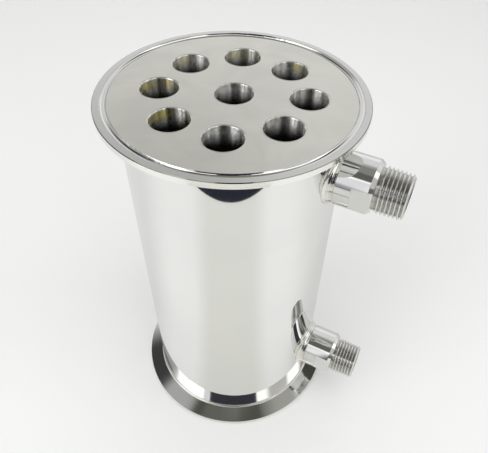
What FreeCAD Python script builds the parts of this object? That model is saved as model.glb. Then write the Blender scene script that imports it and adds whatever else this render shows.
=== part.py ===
import FreeCAD, Part
import math
import os

# Shell-and-tube condenser with a clamp face at each end and two water ports on one side.
# Origin: centre of the lower clamp face. +Z runs up the axis, +X is the side of the ports.
# All lengths are in millimetres and all angles in degrees.

# Whole body
overall_height = 202.0
shell_diameter = 101.6
shell_wall = 2.0

# Clamp ends
rim_diameter = 119.0
rim_thickness = 2.85
rim_edge_break = 0.3
clamp_angle = 20.0
sheet_thickness = 8.0
sheet_step_clearance = 0.1
groove_centre_diameter = 110.3
groove_width = 3.0
groove_depth = 1.5
inner_face_drop = 0.5

# Condenser tubes
tube_diameter = 19.0
tube_wall = 1.2
ring_tube_count = 8
tube_circle_diameter = 65.2
first_tube_angle = 20.5
tube_hole_clearance = 0.1
tube_mouth_diameter = 16.9
tube_mouth_depth = 3.5
tube_mouth_edge_break = 0.3

# Water ports
upper_port_below_top = 26.4
lower_port_above_base = 37.4
spigot_diameter = 22.0
spigot_hole_clearance = 0.1
port_bore_diameter = 14.0
neck_length = 2.2
collar_diameter = 25.0
collar_length = 16.4
collar_back_chamfer = 0.4
collar_front_chamfer_length = 1.8
collar_front_chamfer_depth = 1.3
flats_width = 22.0
flats_length = 8.9
upper_flats_turn = -5.0
lower_flats_turn = 3.0

# Taper pipe thread, half inch, 14 turns to the inch
thread_tip_diameter = 20.44
thread_length = 14.0
thread_pitch = 25.4 / 14
thread_depth = 1.16
thread_angle = 60.0
thread_root_flat = 0.2
thread_taper = 1.0 / 16
thread_relief_width = 1.2
thread_tip_chamfer = 0.9

# Welds
seam_weld_leg = 0.9
port_weld_spread = 1.2
tube_weld_depth = 1.2

# Worked out from the sizes above
shell_radius = shell_diameter / 2
shell_bore_radius = shell_radius - shell_wall
rim_radius = rim_diameter / 2
cone_rise = (rim_radius - shell_radius) * math.tan(math.radians(clamp_angle))
shoulder_height = rim_thickness + cone_rise
tube_radius = tube_diameter / 2
tube_hole_radius = tube_radius + tube_hole_clearance
tube_mouth_radius = tube_mouth_diameter / 2
spigot_radius = spigot_diameter / 2
collar_radius = collar_diameter / 2
collar_start = shell_radius + neck_length
collar_end = collar_start + collar_length
port_end = collar_end + thread_length
upper_port_height = overall_height - upper_port_below_top
lower_port_height = lower_port_above_base

AXIS_Z = FreeCAD.Vector(0, 0, 1)
AXIS_X = FreeCAD.Vector(1, 0, 0)
ORIGIN = FreeCAD.Vector(0, 0, 0)


def around_z(radius, height):
    """A profile point for a shape that is turned about Z."""
    return FreeCAD.Vector(radius, 0, height)


def around_x(along, radius):
    """A profile point for a shape that is turned about X."""
    return FreeCAD.Vector(along, 0, radius)


def straight_edges(points):
    return [Part.LineSegment(a, b).toShape() for a, b in zip(points, points[1:])]


def turned(edges, axis):
    """One closed outline in the XZ plane, turned a full circle about an axis through the origin."""
    face = Part.Face(Part.Wire(Part.__sortEdges__(edges)))
    return face.revolve(ORIGIN, axis, 360)


def tube_centres():
    """The centre tube first, then the ring of tubes in order from the side of the ports."""
    centres = [ORIGIN]
    for number in range(ring_tube_count):
        angle = math.radians(first_tube_angle + number * 360.0 / ring_tube_count)
        reach = tube_circle_diameter / 2
        centres.append(FreeCAD.Vector(reach * math.cos(angle), reach * math.sin(angle), 0))
    return centres


def to_top(shape):
    """The same piece at the other end of the body, face outwards."""
    return shape.mirror(FreeCAD.Vector(0, 0, overall_height / 2), AXIS_Z)


def tube_hole(centre):
    """The drilling for one tube, with the bevel at the outer face that its weld fills."""
    hole = Part.makeCylinder(tube_hole_radius, sheet_thickness, centre)
    bevel = Part.makeCone(
        tube_hole_radius + inner_face_drop + tube_weld_depth,
        tube_hole_radius,
        inner_face_drop + tube_weld_depth,
        centre,
    )
    return hole.fuse(bevel)


def tube_sheet():
    """The lower end plate: clamp rim, seal groove, sloping back, locating step and tube holes."""
    groove_inner = groove_centre_diameter / 2 - groove_width / 2
    groove_outer = groove_centre_diameter / 2 + groove_width / 2
    step_radius = shell_bore_radius - sheet_step_clearance
    groove = Part.Arc(
        around_z(groove_inner, inner_face_drop),
        around_z(groove_centre_diameter / 2, groove_depth),
        around_z(groove_outer, 0),
    )
    rim = straight_edges([
        around_z(groove_outer, 0),
        around_z(rim_radius - rim_edge_break, 0),
        around_z(rim_radius, rim_edge_break),
        around_z(rim_radius, rim_thickness),
        around_z(shell_radius, shoulder_height),
        around_z(step_radius, shoulder_height),
        around_z(step_radius, sheet_thickness),
        around_z(0, sheet_thickness),
        around_z(0, inner_face_drop),
        around_z(groove_inner, inner_face_drop),
    ])
    sheet = turned([groove.toShape()] + rim, AXIS_Z)
    for centre in tube_centres():
        sheet = sheet.cut(tube_hole(centre))
    return sheet


def shell():
    """The jacket tube, cut square to the shoulders of both plates, with a hole for each port."""
    length = overall_height - 2 * shoulder_height
    base = FreeCAD.Vector(0, 0, shoulder_height)
    jacket = Part.makeCylinder(shell_radius, length, base)
    jacket = jacket.cut(Part.makeCylinder(shell_bore_radius, length, base))
    for height in (upper_port_height, lower_port_height):
        start = FreeCAD.Vector(0, 0, height)
        hole = Part.makeCylinder(spigot_radius + spigot_hole_clearance, rim_radius, start, AXIS_X)
        jacket = jacket.cut(hole)
    return jacket


def condenser_tube(centre):
    """One straight tube, flush with both faces, its two mouths bored out a little and chamfered."""
    middle = overall_height / 2
    mouth_edge = inner_face_drop + tube_mouth_edge_break
    mouth_end = inner_face_drop + tube_mouth_depth
    half = turned(
        straight_edges([
            around_z(tube_mouth_radius + tube_mouth_edge_break, inner_face_drop),
            around_z(tube_radius, inner_face_drop),
            around_z(tube_radius, middle),
            around_z(tube_radius - tube_wall, middle),
            around_z(tube_radius - tube_wall, mouth_end),
            around_z(tube_mouth_radius, mouth_end),
            around_z(tube_mouth_radius, mouth_edge),
            around_z(tube_mouth_radius + tube_mouth_edge_break, inner_face_drop),
        ]),
        AXIS_Z,
    )
    tube = half.fuse(to_top(half)).removeSplitter()
    tube.translate(centre)
    return tube


def collar(turn):
    """The round collar of a port, bevelled at both ends, with two spanner flats on its front part."""
    barrel = turned(
        straight_edges([
            around_x(collar_start, 0),
            around_x(collar_start, collar_radius - collar_back_chamfer),
            around_x(collar_start + collar_back_chamfer, collar_radius),
            around_x(collar_end - collar_front_chamfer_length, collar_radius),
            around_x(collar_end, collar_radius - collar_front_chamfer_depth),
            around_x(collar_end, 0),
            around_x(collar_start, 0),
        ]),
        AXIS_X,
    )
    corner = FreeCAD.Vector(collar_end - flats_length, flats_width / 2, -collar_radius)
    for side in (0, 180):
        waste = Part.makeBox(flats_length, collar_radius, collar_diameter, corner)
        waste.rotate(ORIGIN, AXIS_X, side - turn)
        barrel = barrel.cut(waste)
    return barrel


def thread_radius(along):
    """Crest radius of the taper thread at a distance along X."""
    return thread_tip_diameter / 2 + (port_end - along) * thread_taper / 2


def thread_blank():
    """The cone that the thread is cut in, with a relief beside the collar and a bevelled tip."""
    relief_end = collar_end + thread_relief_width
    root = thread_radius(collar_end) - thread_depth
    return turned(
        straight_edges([
            around_x(collar_end, 0),
            around_x(collar_end, root),
            around_x(relief_end, root),
            around_x(relief_end + thread_depth / 2, thread_radius(relief_end)),
            around_x(port_end - thread_tip_chamfer, thread_radius(port_end - thread_tip_chamfer)),
            around_x(port_end, thread_radius(port_end) - thread_depth),
            around_x(port_end, 0),
            around_x(collar_end, 0),
        ]),
        AXIS_X,
    )


def thread_cutter():
    """The V groove of the thread, one unbroken helix that runs in from the tip to the relief."""
    half_angle = math.degrees(math.atan(thread_taper / 2))
    start = port_end + thread_pitch
    length = start - collar_end - thread_relief_width / 2
    first_radius = thread_radius(start)
    path = Part.makeLongHelix(thread_pitch, length, first_radius, half_angle)
    overcut = thread_depth * 0.1
    root_half = thread_root_flat / 2
    mouth_half = root_half + (thread_depth + overcut) * math.tan(math.radians(thread_angle / 2))
    profile = Part.makePolygon([
        around_z(first_radius - thread_depth, -root_half),
        around_z(first_radius + overcut, -mouth_half),
        around_z(first_radius + overcut, mouth_half),
        around_z(first_radius - thread_depth, root_half),
        around_z(first_radius - thread_depth, -root_half),
    ])
    groove = Part.Wire(path).makePipeShell([profile], True, True)
    if groove.Volume < 0:
        groove = groove.reversed()
    groove.rotate(ORIGIN, FreeCAD.Vector(0, 1, 0), -90)
    groove.translate(FreeCAD.Vector(start, 0, 0))
    return groove


def port_nipple(height, turn):
    """Spigot through the shell wall, collar and threaded end in one piece, bored through."""
    spigot_start = math.sqrt(shell_bore_radius ** 2 - spigot_radius ** 2)
    start = FreeCAD.Vector(spigot_start, 0, 0)
    spigot = Part.makeCylinder(spigot_radius, collar_start - spigot_start, start, AXIS_X)
    body = spigot.fuse(collar(turn)).fuse(thread_blank().cut(thread_cutter()))
    bore_radius = port_bore_diameter / 2
    body = body.cut(Part.makeCylinder(bore_radius, port_end, start, AXIS_X))
    nipple = body.removeSplitter()
    nipple.translate(FreeCAD.Vector(0, 0, height))
    return nipple


def port_weld(height):
    """The bead round a spigot that fills the space from the round shell to the back of the collar."""
    top_radius = collar_radius - collar_back_chamfer
    slope = port_weld_spread / neck_length
    root = math.sqrt(shell_bore_radius ** 2 - spigot_radius ** 2)
    run = collar_start - root
    start = FreeCAD.Vector(root, 0, 0)
    bead = Part.makeCone(top_radius + slope * run, top_radius, run, start, AXIS_X)
    bead = bead.cut(Part.makeCylinder(spigot_radius, run, start, AXIS_X))
    bead = bead.cut(Part.makeCylinder(shell_radius, rim_diameter, FreeCAD.Vector(0, 0, -rim_radius)))
    bead.translate(FreeCAD.Vector(0, 0, height))
    return bead


def seam_weld():
    """The narrow bead in the corner between the lower plate's sloping back and the shell."""
    slope = math.radians(clamp_angle)
    corner = around_z(shell_radius, shoulder_height)
    up_shell = around_z(shell_radius, shoulder_height + seam_weld_leg)
    down_cone = around_z(
        shell_radius + seam_weld_leg * math.cos(slope),
        shoulder_height - seam_weld_leg * math.sin(slope),
    )
    return turned(straight_edges([corner, up_shell, down_cone, corner]), AXIS_Z)


def tube_welds():
    """The nine rings that join the lower tube ends to the plate, faced off flush with it."""
    weld_end = inner_face_drop + tube_weld_depth
    ring = turned(
        straight_edges([
            around_z(tube_radius, inner_face_drop),
            around_z(tube_hole_radius + tube_weld_depth, inner_face_drop),
            around_z(tube_hole_radius, weld_end),
            around_z(tube_radius, weld_end),
            around_z(tube_radius, inner_face_drop),
        ]),
        AXIS_Z,
    )
    rings = []
    for centre in tube_centres():
        copy = ring.copy()
        copy.translate(centre)
        rings.append(copy)
    return Part.makeCompound(rings)


def build():
    lower_sheet = tube_sheet()
    lower_seam = seam_weld()
    lower_rings = tube_welds()
    pieces = {
        "lower_tube_sheet": lower_sheet,
        "upper_tube_sheet": to_top(lower_sheet),
        "shell": shell(),
        "lower_seam_weld": lower_seam,
        "upper_seam_weld": to_top(lower_seam),
        "lower_tube_welds": lower_rings,
        "upper_tube_welds": to_top(lower_rings),
        "upper_port_nipple": port_nipple(upper_port_height, upper_flats_turn),
        "lower_port_nipple": port_nipple(lower_port_height, lower_flats_turn),
        "upper_port_weld": port_weld(upper_port_height),
        "lower_port_weld": port_weld(lower_port_height),
    }
    centres = tube_centres()
    pieces["centre_tube"] = condenser_tube(centres[0])
    for number, centre in enumerate(centres[1:], start=1):
        pieces["ring_tube_%d" % number] = condenser_tube(centre)
    return pieces


os.makedirs("parts", exist_ok=True)
for node, shape in build().items():
    solids = shape.Solids
    valid = all(solid.isValid() for solid in solids)
    print(node, len(solids), "solids, valid", valid, "volume", round(shape.Volume, 1))
    shape.exportStep("parts/%s.step" % node)
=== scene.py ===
import math

import bmesh
import bpy
from mathutils import Matrix, Vector


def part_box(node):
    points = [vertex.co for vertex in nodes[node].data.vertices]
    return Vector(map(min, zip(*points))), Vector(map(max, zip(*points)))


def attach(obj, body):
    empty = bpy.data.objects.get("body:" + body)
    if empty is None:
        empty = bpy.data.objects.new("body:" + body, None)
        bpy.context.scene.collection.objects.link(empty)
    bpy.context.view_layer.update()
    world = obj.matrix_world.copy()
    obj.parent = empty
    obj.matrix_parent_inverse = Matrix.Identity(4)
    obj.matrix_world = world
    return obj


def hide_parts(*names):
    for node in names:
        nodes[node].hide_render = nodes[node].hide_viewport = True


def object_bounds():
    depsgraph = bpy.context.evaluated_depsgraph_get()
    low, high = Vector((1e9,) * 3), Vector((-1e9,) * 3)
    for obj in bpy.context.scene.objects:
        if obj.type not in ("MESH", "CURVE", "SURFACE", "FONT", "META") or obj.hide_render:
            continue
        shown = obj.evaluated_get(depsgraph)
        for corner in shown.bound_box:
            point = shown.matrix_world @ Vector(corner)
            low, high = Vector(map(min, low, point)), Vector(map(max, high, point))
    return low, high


mm = 0.001
toDegrees = 180 / math.pi

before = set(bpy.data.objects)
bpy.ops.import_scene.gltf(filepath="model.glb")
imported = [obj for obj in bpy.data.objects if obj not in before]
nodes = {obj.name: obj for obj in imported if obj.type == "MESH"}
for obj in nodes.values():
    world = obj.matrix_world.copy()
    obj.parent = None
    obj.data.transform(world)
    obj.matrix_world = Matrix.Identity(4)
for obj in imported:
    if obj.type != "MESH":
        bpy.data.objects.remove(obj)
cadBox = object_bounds()
print("frame loaded:", len(nodes), "nodes")


# Camera, at the height and angle of the photograph (488 x 453)
cameraView = {
    "place": (90.444 * mm, -169.269 * mm, 317.421 * mm),
    "yaw": -23.427,  # degrees from +Y towards +X
    "pitch": 45.893,  # degrees below level
    "roll": 2.833,
    "lens": 37.045,
    "shiftX": -0.0408,
}


def makeCamera(view):
    yaw = math.radians(view["yaw"])
    pitch = math.radians(view["pitch"])
    roll = math.radians(view["roll"])
    ahead = Vector((
        math.sin(yaw) * math.cos(pitch),
        math.cos(yaw) * math.cos(pitch),
        -math.sin(pitch),
    ))
    right = Vector((math.cos(yaw), -math.sin(yaw), 0))
    up = right.cross(ahead)
    rolledRight = right * math.cos(roll) + up * math.sin(roll)
    rolledUp = up * math.cos(roll) - right * math.sin(roll)
    turn = Matrix((rolledRight, rolledUp, -ahead)).transposed().to_4x4()
    data = bpy.data.cameras.new("photoCamera")
    data.lens = view["lens"]
    data.shift_x = view["shiftX"]
    data.clip_start = 0.01
    camera = bpy.data.objects.new("photoCamera", data)
    camera.matrix_world = Matrix.Translation(view["place"]) @ turn
    bpy.context.scene.collection.objects.link(camera)
    bpy.context.scene.camera = camera


makeCamera(cameraView)
bpy.context.scene.view_settings.view_transform = "Standard"
print("camera set")


def addNode(tree, kind, inputs=None, **settings):
    node = tree.nodes.new(kind)
    for name, value in settings.items():
        setattr(node, name, value)
    for name, value in (inputs or {}).items():
        socket = node.inputs[name]
        if isinstance(value, bpy.types.NodeSocket):
            tree.links.new(value, socket)
        else:
            socket.default_value = value
    return node


def newMaterial(name):
    material = bpy.data.materials.new(name)
    material.use_nodes = True
    material.node_tree.nodes.clear()
    return material, material.node_tree


def mathNode(tree, operation, first, second=0.0, third=0.0):
    node = addNode(tree, "ShaderNodeMath", {0: first, 1: second, 2: third}, operation=operation)
    return node.outputs[0]


def mixColours(tree, factor, low, high):
    node = tree.nodes.new("ShaderNodeMix")
    node.data_type = "RGBA"
    for place, value in ((0, factor), (6, low), (7, high)):
        if isinstance(value, bpy.types.NodeSocket):
            tree.links.new(value, node.inputs[place])
        else:
            node.inputs[place].default_value = value
    return node.outputs[2]


def remap(tree, value, low, high, toLow=0.0, toHigh=1.0):
    node = addNode(tree, "ShaderNodeMapRange", {
        "Value": value,
        "From Min": low,
        "From Max": high,
        "To Min": toLow,
        "To Max": toHigh,
    }, interpolation_type="SMOOTHSTEP")
    return node.outputs["Result"]


def newGroup(name, inputs, outputs):
    group = bpy.data.node_groups.new(name, "ShaderNodeTree")
    for label, kind, value in inputs:
        socket = group.interface.new_socket(name=label, in_out="INPUT", socket_type="NodeSocket" + kind)
        if value is not None:
            socket.default_value = value
    for label, kind in outputs:
        group.interface.new_socket(name=label, in_out="OUTPUT", socket_type="NodeSocket" + kind)
    entry = group.nodes.new("NodeGroupInput")
    leave = group.nodes.new("NodeGroupOutput")
    return group, entry.outputs, leave.inputs


def useGroup(tree, group, inputs=None):
    node = tree.nodes.new("ShaderNodeGroup")
    node.node_tree = group
    for name, value in (inputs or {}).items():
        if isinstance(value, bpy.types.NodeSocket):
            tree.links.new(value, node.inputs[name])
        else:
            node.inputs[name].default_value = value
    return node.outputs


# Fine rings left by a lathe round the Z axis of Point
def makeTurnedMarks():
    inputs = [("Point", "Vector", None), ("Rings", "Float", 3000.0)]
    group, given, out = newGroup("turnedMarks", inputs, [("Height", "Float")])
    axes = addNode(group, "ShaderNodeSeparateXYZ", {0: given["Point"]}).outputs
    flat = addNode(group, "ShaderNodeCombineXYZ", {0: axes[0], 1: axes[1]}).outputs[0]
    radius = addNode(group, "ShaderNodeVectorMath", {0: flat}, operation="LENGTH").outputs["Value"]
    turn = mathNode(group, "ARCTAN2", axes[1], axes[0])
    along = mathNode(group, "MULTIPLY", radius, given["Rings"])
    place = addNode(group, "ShaderNodeCombineXYZ", {0: along, 1: turn, 2: axes[2]}).outputs[0]
    rings = addNode(group, "ShaderNodeTexNoise", {"Vector": place, "Scale": 1.0, "Detail": 3.0})
    group.links.new(rings.outputs["Fac"], out["Height"])
    return group


# Cloudy rubbing marks and fine upright hairlines
def makeRubMarks():
    inputs = [("Point", "Vector", None), ("Size", "Float", 60.0)]
    group, given, out = newGroup("rubMarks", inputs, [("Mask", "Float"), ("Fine", "Float")])
    clouds = addNode(group, "ShaderNodeTexNoise", {
        "Vector": given["Point"], "Scale": given["Size"], "Detail": 4.0, "Roughness": 0.55, "Distortion": 0.6,
    })
    group.links.new(remap(group, clouds.outputs["Fac"], 0.35, 0.7), out["Mask"])
    stretched = addNode(group, "ShaderNodeMapping", {"Vector": given["Point"], "Scale": (1.0, 1.0, 0.12)})
    fine = addNode(group, "ShaderNodeTexNoise", {
        "Vector": stretched.outputs[0], "Scale": 2200.0, "Detail": 2.0,
    })
    group.links.new(fine.outputs["Fac"], out["Fine"])
    return group


turnedMarks = makeTurnedMarks()
rubMarks = makeRubMarks()


# End plates: satin turned face inside the groove, polished groove, rim and sloping back, with painted sheen
# on the rim's sides and painted dark lines along the slanted edges
plateLook = {
    "faceColour": (0.735, 0.727, 0.675, 1),
    "faceShade": (0.675, 0.671, 0.625, 1),
    "faceRoughness": 0.27,
    "landColour": (0.68, 0.68, 0.66, 1),
    "landRoughness": 0.13,
    "polishColour": (0.78, 0.78, 0.765, 1),
    "polishRoughness": 0.07,
    "faceRadius": 53.5 * mm,
    "landRadius": 56.7 * mm,
    # Near-white on the rim's sides is painted sheen; near-black on the slanted edges is painted dark
    # reflection lines
    "rimSheenColour": (0.93, 0.925, 0.89, 1),
    "edgeShadeColour": (0.22, 0.22, 0.19, 1),
    "border": 0.2 * mm,
    "rings": 9000.0,
    "rubSize": 45.0,
    "fineShare": 0.04,
    "bump": 0.12,
    "bumpDepth": 0.02 * mm,
    # Where the normal's upright share counts as flat, as sideways and as slanted
    "flatLean": (0.97, 0.995),
    "sideLean": (0.05, 0.2),
    "slantStart": (0.2, 0.4),
    "slantEnd": (0.8, 0.9),
}


def makePlateSteel(look):
    material, tree = newMaterial("plateSteel")
    place = addNode(tree, "ShaderNodeTexCoord").outputs
    axes = addNode(tree, "ShaderNodeSeparateXYZ", {0: place["Object"]}).outputs
    upright = addNode(tree, "ShaderNodeSeparateXYZ", {0: place["Normal"]}).outputs[2]
    lean = mathNode(tree, "ABSOLUTE", upright)
    flat = remap(tree, lean, *look["flatLean"])
    sideways = remap(tree, lean, *look["sideLean"], 1.0, 0.0)
    slanted = mathNode(tree, "MULTIPLY",
                       remap(tree, lean, *look["slantStart"]),
                       remap(tree, lean, *look["slantEnd"], 1.0, 0.0))
    inPlane = addNode(tree, "ShaderNodeCombineXYZ", {0: axes[0], 1: axes[1]}).outputs[0]
    radius = addNode(tree, "ShaderNodeVectorMath", {0: inPlane}, operation="LENGTH").outputs["Value"]
    insideGroove = remap(tree, radius, look["faceRadius"], look["faceRadius"] + look["border"], 1.0, 0.0)
    outsideGroove = remap(tree, radius, look["landRadius"] - look["border"], look["landRadius"])
    face = mathNode(tree, "MULTIPLY", flat, insideGroove)
    land = mathNode(tree, "MULTIPLY", flat, outsideGroove)
    rim = mathNode(tree, "MULTIPLY", sideways, outsideGroove)
    edge = mathNode(tree, "MULTIPLY", slanted, outsideGroove)
    marks = useGroup(tree, turnedMarks, {"Point": place["Object"], "Rings": look["rings"]})
    rubs = useGroup(tree, rubMarks, {"Point": place["Object"], "Size": look["rubSize"]})
    faceColour = mixColours(tree, rubs["Mask"], look["faceColour"], look["faceShade"])
    colour = mixColours(tree, land, look["polishColour"], look["landColour"])
    colour = mixColours(tree, face, colour, faceColour)
    # Painted sheen on the rim's sides and painted dark lines along the slanted edges
    colour = mixColours(tree, rim, colour, look["rimSheenColour"])
    colour = mixColours(tree, edge, colour, look["edgeShadeColour"])
    roughness = remap(tree, face, 0.0, 1.0, look["polishRoughness"], look["faceRoughness"])
    roughness = mathNode(tree, "MULTIPLY_ADD", land, look["landRoughness"], roughness)
    roughness = mathNode(tree, "MULTIPLY_ADD", rubs["Fine"], look["fineShare"], roughness)
    bump = addNode(tree, "ShaderNodeBump", {
        "Height": marks["Height"], "Strength": look["bump"], "Distance": look["bumpDepth"],
    })
    surface = addNode(tree, "ShaderNodeBsdfPrincipled", {
        "Base Color": colour, "Metallic": 1.0, "Roughness": roughness, "Normal": bump.outputs[0],
    })
    addNode(tree, "ShaderNodeOutputMaterial", {"Surface": surface.outputs[0]})
    return material


# Shell: mirror polish with faint upright polishing lines
shellLook = {
    "colour": (0.865, 0.865, 0.845, 1),
    "shade": (0.84, 0.845, 0.825, 1),
    "roughness": 0.02,
    "rubSize": 22.0,
    "fineShare": 0.02,
    "bump": 0.02,
    "bumpDepth": 0.01 * mm,
}


def makeShellSteel(look):
    material, tree = newMaterial("shellSteel")
    place = addNode(tree, "ShaderNodeTexCoord").outputs
    rubs = useGroup(tree, rubMarks, {"Point": place["Object"], "Size": look["rubSize"]})
    colour = mixColours(tree, rubs["Mask"], look["colour"], look["shade"])
    roughness = mathNode(tree, "MULTIPLY_ADD", rubs["Fine"], look["fineShare"], look["roughness"])
    bump = addNode(tree, "ShaderNodeBump", {
        "Height": rubs["Fine"], "Strength": look["bump"], "Distance": look["bumpDepth"],
    })
    surface = addNode(tree, "ShaderNodeBsdfPrincipled", {
        "Base Color": colour, "Metallic": 1.0, "Roughness": roughness, "Normal": bump.outputs[0],
    })
    addNode(tree, "ShaderNodeOutputMaterial", {"Surface": surface.outputs[0]})
    return material


# Tubes: drawn bore with upright light and dark streaks, partly drawing lines and partly painted reflection,
# straw and brown weld tint near the ends, and painted shade that deepens down the bore
tubeLook = {
    # bright and dark: the upright streaks, partly drawing lines and partly painted reflection
    "bright": (1.0, 0.995, 0.975, 1),
    "dark": (0.50, 0.50, 0.48, 1),
    "mouth": (0.70, 0.693, 0.645, 1),
    # Near-black of the seam line and of the painted shade that deepens down the bore
    "jointAndBoreShade": (0.03, 0.03, 0.028, 1),
    "straw": (0.72, 0.65, 0.26, 1),
    "brown": (0.34, 0.28, 0.09, 1),
    "roughness": 0.16,
    "mouthRoughness": 0.27,
    "anisotropic": 1.0,
    "rotation": 0.25,
    "seedStep": 3.7,
    "lines": 4.5,
    "lineDrift": 12.0,
    "lineContrast": (0.36, 0.6),
    "clouds": 2.2,
    "seamDepth": 3.7 * mm,
    "seamHalf": 0.25 * mm,
    "seamCore": 0.3,
    "seam": 0.45,
    "seamPatches": (0.35, 0.6),
    "ringPitch": 0.5 * mm,
    "ringDepth": 0.11 * mm,
    "tintStart": (0.6 * mm, 1.8 * mm),
    "tintDepth": 8.0 * mm,
    "tintFade": 0.45,
    "tintSides": (0.5, 1.2),
    "tintPatches": (0.25, 0.5, 0.55, 1.0),
    "brownToStraw": (0.4, 0.62),
    # Depths over which the painted shade in the bore sets in
    "boreShadeFrom": 2.2 * mm,
    "boreShadeTo": 10.5 * mm,
    "wallLean": (0.6, 0.9),
}
# Where the tint sits round each bore, in degrees from +X towards +Y, its spread and its strength
tubeTints = {
    "centre_tube": (120, 60, 0.04),
    "ring_tube_1": (100, 40, 0.22),
    "ring_tube_2": (78, 38, 0.75),
    "ring_tube_3": (132, 50, 0.55),
    "ring_tube_4": (152, 40, 0.5),
    "ring_tube_5": (128, 75, 0.9),
    "ring_tube_6": (156, 50, 0.95),
    "ring_tube_7": (140, 60, 0.05),
    "ring_tube_8": (160, 40, 0.08),
}


# Upright streaks (drawing lines with painted reflection), weld tint, dark seam and painted shade down a bore
# whose axis stands at Centre
def makeTubeBore(look):
    inputs = [
        ("Point", "Vector", None),
        ("Normal", "Vector", None),
        ("Centre", "Vector", None),
        ("Top", "Float", 0.2),
        ("Tint Turn", "Float", 0.0),
        ("Tint Spread", "Float", 1.0),
        ("Tint", "Float", 0.5),
        ("Seed", "Float", 0.0),
    ]
    outputs = [("Color", "Color"), ("Wall", "Float"), ("Rings", "Float")]
    group, given, out = newGroup("tubeBore", inputs, outputs)
    upright = addNode(group, "ShaderNodeSeparateXYZ", {0: given["Normal"]}).outputs[2]
    wall = remap(group, mathNode(group, "ABSOLUTE", upright), *look["wallLean"], 1.0, 0.0)
    local = addNode(group, "ShaderNodeVectorMath", {
        0: given["Point"], 1: given["Centre"],
    }, operation="SUBTRACT").outputs[0]
    axes = addNode(group, "ShaderNodeSeparateXYZ", {0: local}).outputs
    turn = mathNode(group, "ARCTAN2", axes[1], axes[0])
    depth = mathNode(group, "MINIMUM", mathNode(group, "SUBTRACT", given["Top"], axes[2]), axes[2])
    drift = mathNode(group, "MULTIPLY_ADD", depth, look["lineDrift"], given["Seed"])
    place = addNode(group, "ShaderNodeCombineXYZ", {
        0: mathNode(group, "COSINE", turn), 1: mathNode(group, "SINE", turn), 2: drift,
    }).outputs[0]
    lines = addNode(group, "ShaderNodeTexNoise", {
        "Vector": place, "Scale": look["lines"], "Detail": 6.0, "Roughness": 0.7,
    }).outputs["Fac"]
    # Upright streaks: drawing lines with painted reflection
    colour = mixColours(group, remap(group, lines, *look["lineContrast"]), look["dark"], look["bright"])
    clouds = addNode(group, "ShaderNodeTexNoise", {
        "Vector": place, "Scale": look["clouds"], "Detail": 4.0,
    }).outputs["Fac"]
    away = mathNode(group, "WRAP", mathNode(group, "SUBTRACT", turn, given["Tint Turn"]), math.pi, -math.pi)
    near = mathNode(group, "DIVIDE", mathNode(group, "ABSOLUTE", away), given["Tint Spread"])
    sideways = remap(group, near, *look["tintSides"], 1.0, 0.0)
    fadeStart = look["tintFade"] * look["tintDepth"]
    down = mathNode(group, "MULTIPLY",
                    remap(group, depth, *look["tintStart"]),
                    remap(group, depth, fadeStart, look["tintDepth"], 1.0, 0.0))
    amount = mathNode(group, "MULTIPLY", mathNode(group, "MULTIPLY", sideways, down), given["Tint"])
    amount = mathNode(group, "MULTIPLY", amount, remap(group, clouds, *look["tintPatches"]))
    tinted = mixColours(group, remap(group, clouds, *look["brownToStraw"]), look["brown"], look["straw"])
    colour = mixColours(group, amount, colour, tinted)
    fromSeam = mathNode(group, "ABSOLUTE", mathNode(group, "SUBTRACT", depth, look["seamDepth"]))
    core = look["seamCore"] * look["seamHalf"]
    seam = remap(group, fromSeam, core, look["seamHalf"], look["seam"], 0.0)
    seam = mathNode(group, "MULTIPLY", seam, remap(group, clouds, *look["seamPatches"]))
    colour = mixColours(group, seam, colour, look["jointAndBoreShade"])
    # Painted shade: darker and darker down the bore
    colour = mixColours(group, remap(group, depth, look["boreShadeFrom"], look["boreShadeTo"]), colour, look["jointAndBoreShade"])
    colour = mixColours(group, wall, look["mouth"], colour)
    rings = mathNode(group, "SINE", mathNode(group, "MULTIPLY", depth, 2 * math.pi / look["ringPitch"]))
    group.links.new(colour, out["Color"])
    group.links.new(wall, out["Wall"])
    group.links.new(mathNode(group, "MULTIPLY", wall, rings), out["Rings"])
    return group


tubeBore = makeTubeBore(tubeLook)


def makeTubeSteel(name, centre, tint, seed):
    material, tree = newMaterial("tubeSteel_" + name)
    place = addNode(tree, "ShaderNodeTexCoord").outputs
    bore = useGroup(tree, tubeBore, {
        "Point": place["Object"],
        "Normal": place["Normal"],
        "Centre": centre,
        "Top": cadBox[1][2],
        "Tint Turn": math.radians(tint[0]),
        "Tint Spread": math.radians(tint[1]),
        "Tint": tint[2],
        "Seed": seed,
    })
    bump = addNode(tree, "ShaderNodeBump", {
        "Height": bore["Rings"], "Strength": 1.0, "Distance": tubeLook["ringDepth"] / 2,
    })
    roughness = remap(tree, bore["Wall"], 0.0, 1.0, tubeLook["mouthRoughness"], tubeLook["roughness"])
    aroundAxis = addNode(tree, "ShaderNodeTangent", direction_type="RADIAL", axis="Z")
    surface = addNode(tree, "ShaderNodeBsdfPrincipled", {
        "Base Color": bore["Color"],
        "Metallic": 1.0,
        "Roughness": roughness,
        "Anisotropic": tubeLook["anisotropic"],
        "Anisotropic Rotation": tubeLook["rotation"],
        "Tangent": aroundAxis.outputs[0],
        "Normal": bump.outputs[0],
    })
    addNode(tree, "ShaderNodeOutputMaterial", {"Surface": surface.outputs[0]})
    return material


# Water ports: polished collar, cut thread with painted shade in its valleys
portLook = {
    "colour": (0.78, 0.78, 0.765, 1),
    "shade": (0.73, 0.73, 0.715, 1),
    # Painted shade in the thread's valleys
    "valleyShade": (0.52, 0.51, 0.475, 1),
    "roughness": 0.035,
    "threadRoughness": 0.08,
    "threadLength": 14.0 * mm,
    "tipRadius": 10.22 * mm,
    "taper": 1 / 32,
    "cutDepth": 1.16 * mm,
    "edge": 0.25 * mm,
    "rings": 5000.0,
    "rubSize": 90.0,
    "fineShare": 0.03,
    "bump": 0.1,
    "bumpDepth": 0.01 * mm,
}


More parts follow.
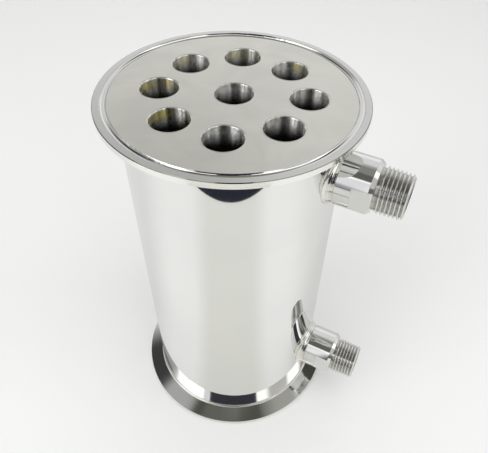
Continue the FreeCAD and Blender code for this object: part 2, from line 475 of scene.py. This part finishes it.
def makePortSteel(name, look):
    material, tree = newMaterial("portSteel_" + name)
    low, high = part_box(name)
    height = (low[2] + high[2]) / 2
    place = addNode(tree, "ShaderNodeTexCoord").outputs
    axes = addNode(tree, "ShaderNodeSeparateXYZ", {0: place["Object"]}).outputs
    across = mathNode(tree, "SUBTRACT", axes[2], height)
    section = addNode(tree, "ShaderNodeCombineXYZ", {0: axes[1], 1: across}).outputs[0]
    turned = addNode(tree, "ShaderNodeCombineXYZ", {0: axes[1], 1: across, 2: axes[0]}).outputs[0]
    radius = addNode(tree, "ShaderNodeVectorMath", {0: section}, operation="LENGTH").outputs["Value"]
    fromTip = mathNode(tree, "SUBTRACT", high[0], axes[0])
    crest = mathNode(tree, "MULTIPLY_ADD", fromTip, look["taper"], look["tipRadius"])
    below = mathNode(tree, "SUBTRACT", crest, radius)
    # Painted shade in the thread's valleys, strongest near the roots
    thread = remap(tree, fromTip, look["threadLength"] - 0.1 * mm, look["threadLength"], 1.0, 0.0)
    cut = remap(tree, below, 0.4 * look["cutDepth"], look["cutDepth"])
    valleyShade = mathNode(tree, "MULTIPLY", thread, cut)
    marks = useGroup(tree, turnedMarks, {"Point": turned, "Rings": look["rings"]})
    rubs = useGroup(tree, rubMarks, {"Point": place["Object"], "Size": look["rubSize"]})
    colour = mixColours(tree, rubs["Mask"], look["colour"], look["shade"])
    colour = mixColours(tree, valleyShade, colour, look["valleyShade"])
    roughness = mathNode(tree, "MULTIPLY_ADD", rubs["Fine"], look["fineShare"], look["roughness"])
    roughness = mathNode(tree, "MULTIPLY_ADD", thread, look["threadRoughness"], roughness)
    bevel = addNode(tree, "ShaderNodeBevel", {"Radius": look["edge"]}, samples=6)
    bump = addNode(tree, "ShaderNodeBump", {
        "Height": marks["Height"],
        "Strength": look["bump"],
        "Distance": look["bumpDepth"],
        "Normal": bevel.outputs[0],
    })
    surface = addNode(tree, "ShaderNodeBsdfPrincipled", {
        "Base Color": colour, "Metallic": 1.0, "Roughness": roughness, "Normal": bump.outputs[0],
    })
    addNode(tree, "ShaderNodeOutputMaterial", {"Surface": surface.outputs[0]})
    return material


# Welds: bright bead with a little straw colour left in it
weldLook = {
    "colour": (0.80, 0.795, 0.77, 1),
    "tint": (0.66, 0.62, 0.50, 1),
    "tintShare": 0.5,
    "roughness": 0.07,
    "rubSize": 160.0,
    "fineShare": 0.1,
}


def makeWeldSteel(look):
    material, tree = newMaterial("weldSteel")
    place = addNode(tree, "ShaderNodeTexCoord").outputs
    rubs = useGroup(tree, rubMarks, {"Point": place["Object"], "Size": look["rubSize"]})
    tinted = mathNode(tree, "MULTIPLY", rubs["Mask"], look["tintShare"])
    colour = mixColours(tree, tinted, look["colour"], look["tint"])
    roughness = mathNode(tree, "MULTIPLY_ADD", rubs["Fine"], look["fineShare"], look["roughness"])
    surface = addNode(tree, "ShaderNodeBsdfPrincipled", {
        "Base Color": colour, "Metallic": 1.0, "Roughness": roughness,
    })
    addNode(tree, "ShaderNodeOutputMaterial", {"Surface": surface.outputs[0]})
    return material


plateSteel = makePlateSteel(plateLook)
shellSteel = makeShellSteel(shellLook)
weldSteel = makeWeldSteel(weldLook)

for name, node in nodes.items():
    node.data.materials.clear()
    if name in tubeTints:
        low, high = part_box(name)
        centre = ((low[0] + high[0]) / 2, (low[1] + high[1]) / 2, 0)
        seed = tubeLook["seedStep"] * list(tubeTints).index(name)
        node.data.materials.append(makeTubeSteel(name, centre, tubeTints[name], seed))
    elif "nipple" in name:
        node.data.materials.append(makePortSteel(name, portLook))
    elif "sheet" in name or "tube_welds" in name:
        node.data.materials.append(plateSteel)
    elif "weld" in name:
        node.data.materials.append(weldSteel)
    else:
        node.data.materials.append(shellSteel)
print("finishes made")


# A ring of closed sections, joined one to the next and the last to the first
def makeBead(name, sections, node):
    mesh = bmesh.new()
    rows = [[mesh.verts.new(point) for point in section] for section in sections]
    for row, following in zip(rows, rows[1:] + rows[:1]):
        for number in range(len(row)):
            after = (number + 1) % len(row)
            mesh.faces.new((row[number], row[after], following[after], following[number]))
    bmesh.ops.recalc_face_normals(mesh, faces=mesh.faces)
    for face in mesh.faces:
        face.smooth = True
    data = bpy.data.meshes.new(name)
    mesh.to_mesh(data)
    mesh.free()
    data.materials.append(weldSteel)
    bead = bpy.data.objects.new(name, data)
    bpy.context.scene.collection.objects.link(bead)
    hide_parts(node)
    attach(bead, "root")


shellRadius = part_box("shell")[1][0]

# Port welds: three rounded passes side by side, laid in even ripples, from the shell to the collar
portWeld = {
    "rootRadius": 11.0 * mm,
    "topRadius": 12.1 * mm,
    "spread": 0.5,
    "passes": 3,
    "passHeight": 0.12 * mm,
    "ripples": 48,
    "rippleHeight": 0.02 * mm,
    "steps": 432,
    "points": 16,
    "footTries": 8,
}


def portWeldSections(node):
    look = portWeld
    low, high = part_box(node)
    middle = (low[2] + high[2]) / 2
    top = high[0]
    sections = []
    for step in range(look["steps"]):
        angle = 2 * math.pi * step / look["steps"]
        across = math.cos(angle)
        upward = math.sin(angle)
        toe = look["topRadius"]
        for attempt in range(look["footTries"]):
            foot = math.sqrt(shellRadius ** 2 - (toe * across) ** 2)
            toe = look["topRadius"] + look["spread"] * (top - foot)
        section = []
        for number in range(look["points"]):
            share = number / (look["points"] - 1)
            lean = 2 * math.pi * share
            rounded = abs(math.sin(math.pi * look["passes"] * share))
            ripple = math.cos(look["ripples"] * angle + lean) * rounded * share
            radius = look["topRadius"] + (toe - look["topRadius"]) * (1 - share) ** 2
            radius += look["passHeight"] * rounded + look["rippleHeight"] * ripple
            along = foot + (top - foot) * share
            section.append((along, radius * across, middle + radius * upward))
        root = look["rootRadius"]
        inner = math.sqrt(shellRadius ** 2 - (root * across) ** 2)
        section.append((top, root * across, middle + root * upward))
        section.append((inner, root * across, middle + root * upward))
        sections.append(section)
    return sections


for end in ("upper", "lower"):
    node = end + "_port_weld"
    makeBead(end + "PortBead", portWeldSections(node), node)
print("port welds made")

# Seam welds: a narrow rippled bead in the corner between the shell and the sloping back
seamWeld = {
    "ripples": 300,
    "swell": 0.16 * mm,
    "outward": 0.7,  # share of the swell that goes out, and as much goes along the shell
    "rippleHeight": 0.05 * mm,
    "steps": 1800,
    "points": 7,
    "sink": 0.1 * mm,
}


def seamWeldSections(node, inward):
    look = seamWeld
    low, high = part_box(node)
    onShell, onCone = (high[2], low[2]) if inward > 0 else (low[2], high[2])
    reach = high[0] - shellRadius
    sections = []
    for step in range(look["steps"]):
        angle = 2 * math.pi * step / look["steps"]
        section = []
        for number in range(look["points"]):
            share = number / (look["points"] - 1)
            rounded = math.sin(math.pi * share)
            ripple = math.cos(look["ripples"] * angle + math.pi * share)
            swell = rounded * (look["swell"] + look["rippleHeight"] * ripple)
            radius = shellRadius + reach * share + swell * look["outward"]
            height = onShell + (onCone - onShell) * share + inward * swell * look["outward"]
            section.append((radius * math.cos(angle), radius * math.sin(angle), height))
        hidden = shellRadius - look["sink"]
        section.append((hidden * math.cos(angle), hidden * math.sin(angle), (onShell + onCone) / 2))
        sections.append(section)
    return sections


makeBead("lowerSeamBead", seamWeldSections("lower_seam_weld", 1), "lower_seam_weld")
makeBead("upperSeamBead", seamWeldSections("upper_seam_weld", -1), "upper_seam_weld")
print("seam welds made")


# Floor and light
studio = {
    "floorRadius": 2.4,
    "floorSides": 120,
    "floorColour": (0.90, 0.90, 0.90, 1),
    "mattRoughness": 0.9,  # of the floor and the cards
    "topLightPlace": (0.06, -0.3, 1.45),
    "topLightSize": 1.6,
    "topLightPower": 11.4,
}

# The room that the steel mirrors: azimuth from +X towards +Y and height above level, in degrees
skyBase = (0.085, 0.085, 0.075, 1)
# name, azimuth and half width, height and half height, softness of the border, colour
skyPatches = [
    ("wall", 0, 180, 0, 58.5, 1.5, (0.88, 0.88, 0.88, 1)),
    ("backHigh", 105, 70, 52, 20, 14, (0.5, 0.5, 0.49, 1)),
    ("backLow", 85, 30, 28, 30, 5, (0.8, 0.8, 0.8, 1)),
    ("backEdge", 115, 22, 14, 11, 4, (1.0, 1.0, 1.0, 1)),
    ("frontBright", -65, 78, 20, 30, 4, (1.5, 1.5, 1.48, 1)),
    ("frontTop", -88, 30, 66, 15, 3, (0.14, 0.14, 0.125, 1)),
    ("zenith", 0, 180, 90, 15, 3, (0.27, 0.27, 0.245, 1)),
    ("leftDark", 180, 30, 42, 12, 6, (0.05, 0.05, 0.05, 1)),
    ("leftMid", -168, 24, 15, 15, 4, (0.4, 0.4, 0.4, 1)),
    ("leftLamp", -145, 15, 58, 7, 4, (0.45, 0.46, 0.45, 1)),
    ("rightLamp", 3, 22, 62, 7, 5, (0.4, 0.4, 0.37, 1)),
    ("rightMid", -8, 15, 18, 14, 4, (0.62, 0.62, 0.60, 1)),
    ("rightBright", 17, 11, 30, 16, 3, (1.5, 1.5, 1.47, 1)),
    ("rightDark", 48, 18, 45, 13, 5, (0.06, 0.06, 0.05, 1)),
    ("rightLow", -15, 24, 2, 9, 4, (0.15, 0.15, 0.14, 1)),
    ("haze", -105, 10, 20, 26, 4, (0.9, 0.9, 0.92, 1)),
    ("hazeSide", -113, 9, 28, 20, 3, (2.4, 2.4, 2.4, 1)),
    ("hazeLow", -104, 9, 2, 9, 6, (0.36, 0.36, 0.42, 1)),
    ("standing", -66.5, 28.5, 10, 28, 1, (0.045, 0.047, 0.06, 1)),
    ("farEdge", -88, 45, -20, 18, 1.5, (0.008, 0.01, 0.022, 1)),
]


# 1 where a value lies within half of the centre, with a soft border, going round at 180 degrees
def within(tree, value, centre, half, soft):
    turned = mathNode(tree, "WRAP", mathNode(tree, "SUBTRACT", value, centre), 180.0, -180.0)
    return remap(tree, mathNode(tree, "ABSOLUTE", turned), half - soft, half + soft, 1.0, 0.0)


def makeWorld():
    world = bpy.data.worlds.new("studioWorld")
    bpy.context.scene.world = world
    world.use_nodes = True
    tree = world.node_tree
    tree.nodes.clear()
    place = addNode(tree, "ShaderNodeTexCoord").outputs["Generated"]
    axes = addNode(tree, "ShaderNodeSeparateXYZ", {0: place}).outputs
    turn = mathNode(tree, "MULTIPLY", mathNode(tree, "ARCTAN2", axes[1], axes[0]), toDegrees)
    up = mathNode(tree, "MULTIPLY", mathNode(tree, "ARCSINE", axes[2]), toDegrees)
    colour = skyBase
    for name, azimuth, halfWidth, height, halfHeight, soft, tone in skyPatches:
        mask = within(tree, up, height, halfHeight, soft)
        if halfWidth < 180:
            sideways = within(tree, turn, azimuth, halfWidth, soft)
            mask = mathNode(tree, "MULTIPLY", sideways, mask)
        colour = mixColours(tree, mask, colour, tone)
    light = addNode(tree, "ShaderNodeBackground", {"Color": colour}).outputs[0]
    plain = addNode(tree, "ShaderNodeBackground", {"Color": studio["floorColour"]}).outputs[0]
    seen = addNode(tree, "ShaderNodeLightPath").outputs["Is Camera Ray"]
    mixed = addNode(tree, "ShaderNodeMixShader", {0: seen, 1: light, 2: plain}).outputs[0]
    addNode(tree, "ShaderNodeOutputWorld", {"Surface": mixed})


# Painted shade on the floor that only the mirror finish picks up, by azimuth from +X towards +Y
mirroredFloorShade = [
    {"name": "front", "turn": -67, "half": 29, "soft": 11, "colour": (0.765, 0.767, 0.735, 1)},
    {"name": "right", "turn": 32, "half": 24, "soft": 20, "colour": (0.79, 0.79, 0.78, 1)},
    {"name": "back", "turn": 112, "half": 58, "soft": 24, "colour": (0.73, 0.735, 0.72, 1)},
    {"name": "left", "turn": 178, "half": 34, "soft": 20, "colour": (0.79, 0.795, 0.79, 1)},
]


def makeFloor():
    mesh = bpy.data.meshes.new("floor")
    radius = studio["floorRadius"]
    sides = studio["floorSides"]
    angles = [2 * math.pi * number / sides for number in range(sides)]
    corners = [(radius * math.cos(angle), radius * math.sin(angle), 0) for angle in angles]
    mesh.from_pydata(corners, [], [tuple(range(sides))])
    floor = bpy.data.objects.new("floor", mesh)
    bpy.context.scene.collection.objects.link(floor)
    material, tree = newMaterial("floorWhite")
    place = addNode(tree, "ShaderNodeTexCoord").outputs["Object"]
    axes = addNode(tree, "ShaderNodeSeparateXYZ", {0: place}).outputs
    turn = mathNode(tree, "MULTIPLY", mathNode(tree, "ARCTAN2", axes[1], axes[0]), toDegrees)
    mirrored = studio["floorColour"]
    # Painted shade on the floor, seen only in reflections
    for tone in mirroredFloorShade:
        mask = within(tree, turn, tone["turn"], tone["half"], tone["soft"])
        mirrored = mixColours(tree, mask, mirrored, tone["colour"])
    glossy = addNode(tree, "ShaderNodeLightPath").outputs["Is Glossy Ray"]
    colour = mixColours(tree, glossy, studio["floorColour"], mirrored)
    surface = addNode(tree, "ShaderNodeBsdfPrincipled", {
        "Base Color": colour, "Roughness": studio["mattRoughness"],
    })
    addNode(tree, "ShaderNodeOutputMaterial", {"Surface": surface.outputs["BSDF"]})
    mesh.materials.append(material)


# Dark cards that only the mirror surfaces see: one lies on the floor, one stands behind the camera
nearCard = {
    "turn": -66.2,
    "near": 0.2465,
    "nearBend": 1.0,  # how fast the edge comes nearer to either side, per metre
    "far": 0.271,
    "farBend": 1.5,
    "half": 0.14,
    "steps": 24,
    "lift": 0.0005,
    "colour": (0.008, 0.010, 0.022, 1),
}
cameraCard = {
    "turn": -62,
    "reach": 0.20,
    "low": 0.28,
    "high": 0.40,
    "half": 0.05,
    "colour": (0.010, 0.010, 0.010, 1),
}


def makeCard(name, corners, colour):
    mesh = bpy.data.meshes.new(name)
    mesh.from_pydata(corners, [], [tuple(range(len(corners)))])
    card = bpy.data.objects.new(name, mesh)
    bpy.context.scene.collection.objects.link(card)
    material, tree = newMaterial(name)
    surface = addNode(tree, "ShaderNodeBsdfPrincipled", {
        "Base Color": colour, "Roughness": studio["mattRoughness"],
    })
    addNode(tree, "ShaderNodeOutputMaterial", {"Surface": surface.outputs["BSDF"]})
    mesh.materials.append(material)
    card.visible_camera = False
    card.visible_diffuse = False
    card.visible_shadow = False


def outAndSide(card):
    angle = math.radians(card["turn"])
    out = Vector((math.cos(angle), math.sin(angle), 0))
    side = Vector((-math.sin(angle), math.cos(angle), 0)) * card["half"]
    return out, side


def makeFloorCard(name, card):
    out, side = outAndSide(card)
    lift = Vector((0, 0, card["lift"]))
    shares = [2 * number / card["steps"] - 1 for number in range(card["steps"] + 1)]
    nearEdge = []
    farEdge = []
    for share in shares:
        bend = (share * card["half"]) ** 2
        nearEdge.append(out * (card["near"] - card["nearBend"] * bend) + side * share + lift)
        farEdge.append(out * (card["far"] - card["farBend"] * bend) + side * share + lift)
    makeCard(name, nearEdge + farEdge[::-1], card["colour"])


def makeCameraCard(card):
    out, side = outAndSide(card)
    low = out * card["reach"] + Vector((0, 0, card["low"]))
    high = out * card["reach"] + Vector((0, 0, card["high"]))
    makeCard("cameraCard", [low - side, low + side, high + side, high - side], card["colour"])


def makeTopLight():
    data = bpy.data.lights.new("topLight", "AREA")
    data.shape = "DISK"
    data.size = studio["topLightSize"]
    data.energy = studio["topLightPower"]
    lamp = bpy.data.objects.new("topLight", data)
    lamp.location = studio["topLightPlace"]
    lamp.visible_glossy = False
    bpy.context.scene.collection.objects.link(lamp)


makeFloor()
makeWorld()
makeTopLight()
makeFloorCard("nearCard", nearCard)
makeCameraCard(cameraCard)
print("floor, light and cards made")
